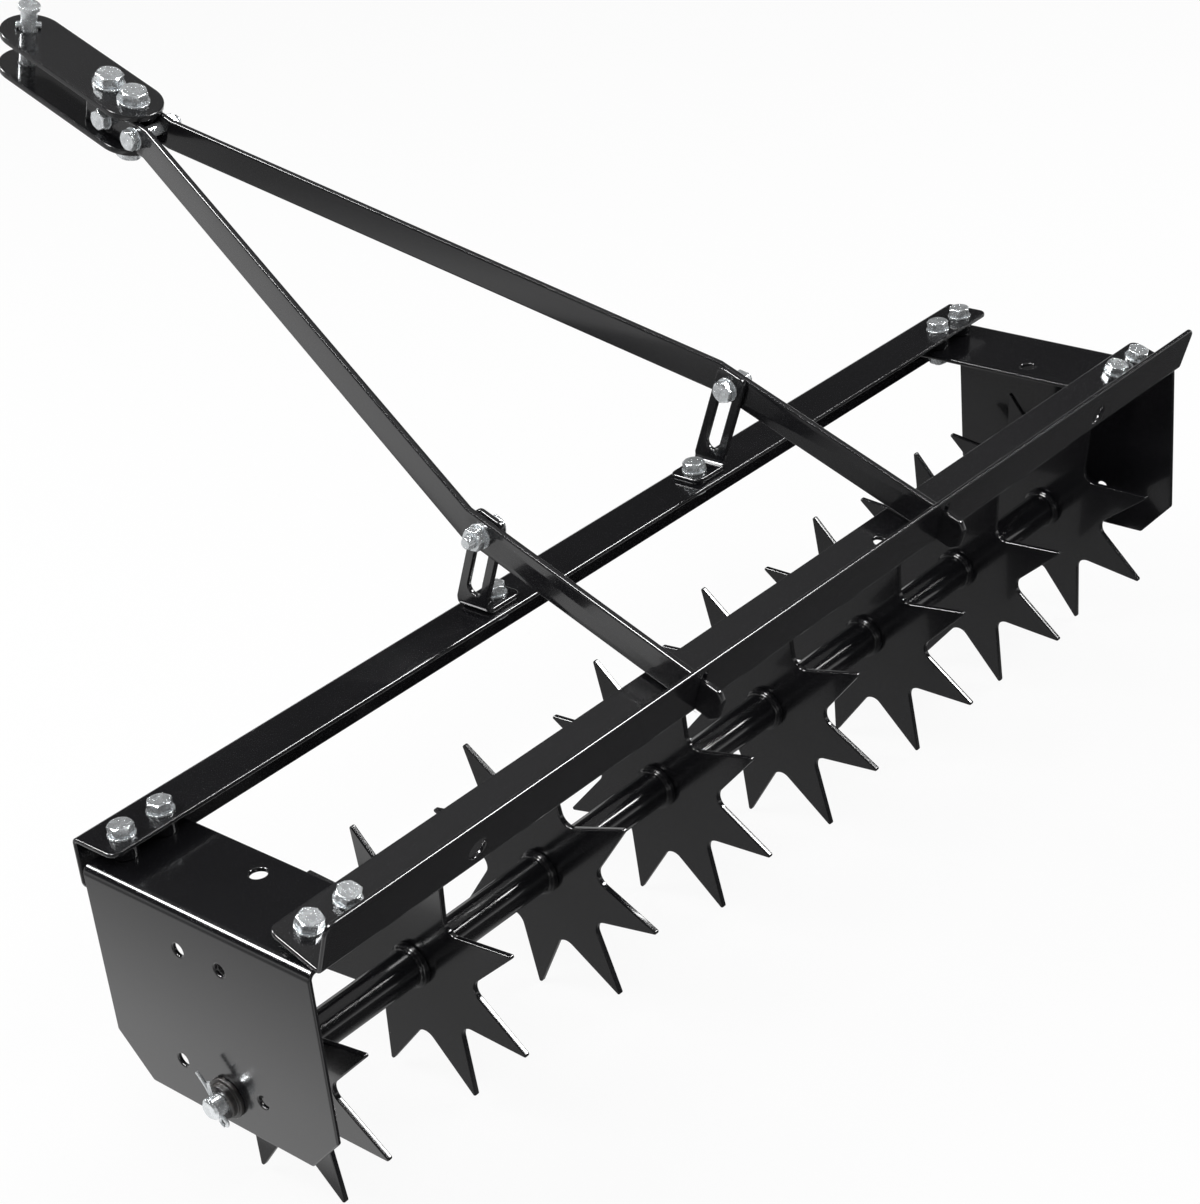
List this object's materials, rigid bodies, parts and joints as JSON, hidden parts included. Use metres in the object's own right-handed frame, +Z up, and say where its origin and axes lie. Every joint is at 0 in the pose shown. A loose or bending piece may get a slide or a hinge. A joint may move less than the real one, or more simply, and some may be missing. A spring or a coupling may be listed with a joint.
{
  "type": "tow behind aerator",
  "caption": "Tow behind lawn aerator: a bolted steel frame, a free-turning drum of spiked discs, an A-shaped tongue that swings down and a clevis hitch with a lift-out pin.",
  "frame": {"origin": "on the ground under the middle of the machine's box, tongue included", "axes": "+X along the axle towards the machine's right, +Y forward to the hitch, +Z up"},
  "size_m": [0.9456, 0.7718, 0.5488],
  "materials": {
    "black_paint": "gloss black powder coat on steel",
    "zinc_plate": "bright zinc plate on steel",
    "black_nylon": "moulded black nylon"
  },
  "bodies": {
    "frame": {"bracket_left": "black_paint", "bracket_right": "black_paint", "front_rail": "black_paint", "rear_rail": "black_paint", "rear_seat_left": "black_paint", "rear_seat_right": "black_paint", "front_spacers": "black_paint", "lift_bracket_left": "black_paint", "lift_bracket_right": "black_paint", "front_rail_bolts": "zinc_plate", "front_rail_washers": "zinc_plate", "front_rail_nuts": "zinc_plate", "rear_rail_bolts": "zinc_plate", "rear_rail_washers": "zinc_plate", "rear_taper_washers": "zinc_plate", "rear_rail_nuts": "zinc_plate", "foot_bolts": "zinc_plate", "foot_washers": "zinc_plate", "foot_nuts": "zinc_plate", "bushing_left": "black_nylon", "bushing_right": "black_nylon"},
    "drum": {"axle_tube": "black_paint", "disc_1": "black_paint", "disc_2": "black_paint", "disc_3": "black_paint", "disc_4": "black_paint", "disc_5": "black_paint", "disc_6": "black_paint", "disc_7": "black_paint", "disc_8": "black_paint", "disc_collars": "black_paint", "stub_left": "zinc_plate", "stub_right": "zinc_plate", "split_pin_left": "zinc_plate", "split_pin_right": "zinc_plate"},
    "tongue": {"tow_bar_left": "black_paint", "tow_bar_right": "black_paint", "hitch_plate_top": "black_paint", "hitch_plate_bottom": "black_paint", "upright_bolts": "zinc_plate", "cross_bolts": "zinc_plate", "hitch_washers": "zinc_plate", "hitch_nuts": "zinc_plate", "slot_bolts": "zinc_plate", "slot_washers": "zinc_plate", "slot_nuts": "zinc_plate"},
    "hitch_pin": {"hitch_pin": "zinc_plate"}
  },
  "joints": [
    {"name": "drum_spin", "type": "hinge", "parent": "frame", "child": "drum", "pos_m": [0, -0.264, 0.09421], "axis": [1, 0, 0], "continuous": true},
    {"name": "tongue_swing", "type": "hinge", "parent": "frame", "child": "tongue", "pos_m": [0, -0.32354, 0.23594], "axis": [1, 0, 0], "range_deg": [-5, 0]},
    {"name": "pin_lift", "type": "slide", "parent": "tongue", "child": "hitch_pin", "axis": [0, -0.3584, 0.9336], "range_m": [0, 0.045]}
  ]
}
